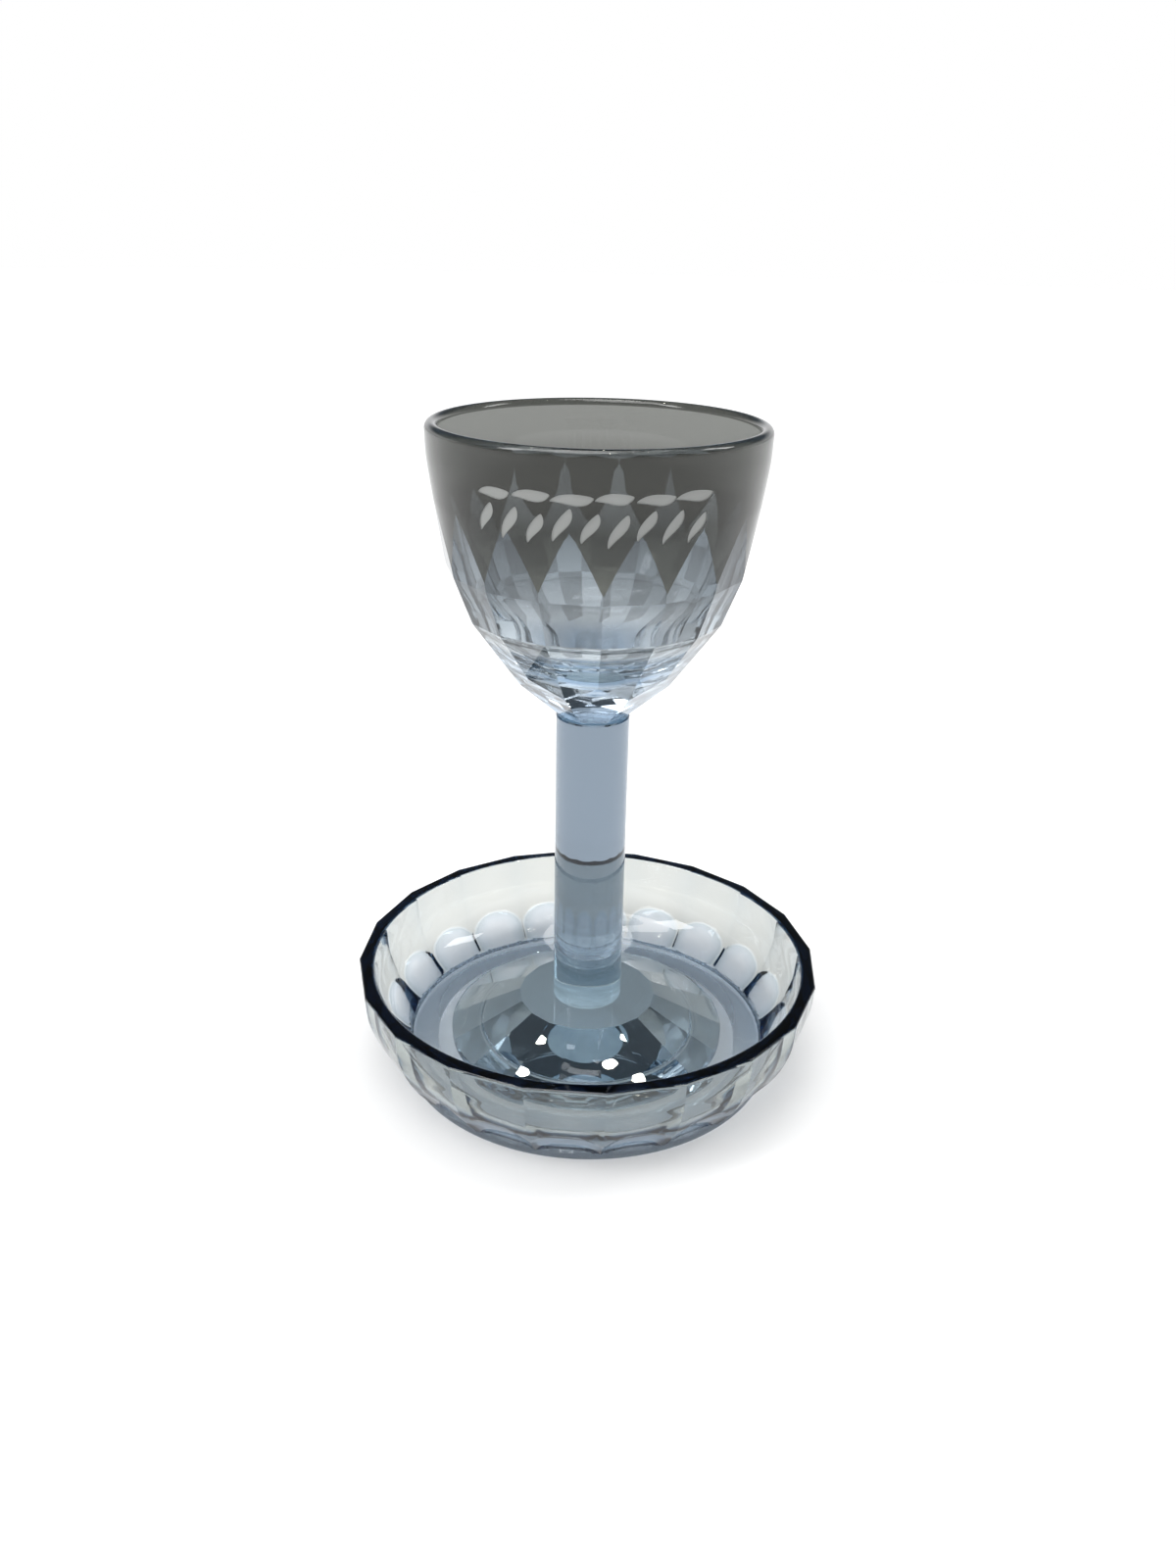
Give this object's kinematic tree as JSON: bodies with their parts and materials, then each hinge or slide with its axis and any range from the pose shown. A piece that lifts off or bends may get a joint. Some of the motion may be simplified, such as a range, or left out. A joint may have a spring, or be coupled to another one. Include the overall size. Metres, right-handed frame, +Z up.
{
  "type": "kiddush cup",
  "caption": "Cut-glass kiddush cup with a faceted bowl on a round rod stem and a faceted foot, standing in a low many-sided glass saucer that catches what spills.",
  "frame": {"origin": "middle of the saucer's underside, on the surface it stands on", "axes": "+Z up along the shared axis of saucer, foot, stem and bowl; -Y towards the cup's front, where the engraved strokes are"},
  "size_m": [0.1078, 0.1078, 0.149],
  "materials": {
    "saucer_glass": "clear pressed glass, polished",
    "foot_glass": "clear cut glass with a cool cast, polished",
    "stem_glass": "clear glass rod with a pale blue cast, polished",
    "bowl_glass": "clear cut glass, smoky grey at the rim and pale blue below, polished"
  },
  "bodies": {
    "root": {"saucer": "saucer_glass", "cup_foot": "foot_glass", "cup_stem": "stem_glass", "cup_bowl": "bowl_glass"}
  },
  "joints": []
}
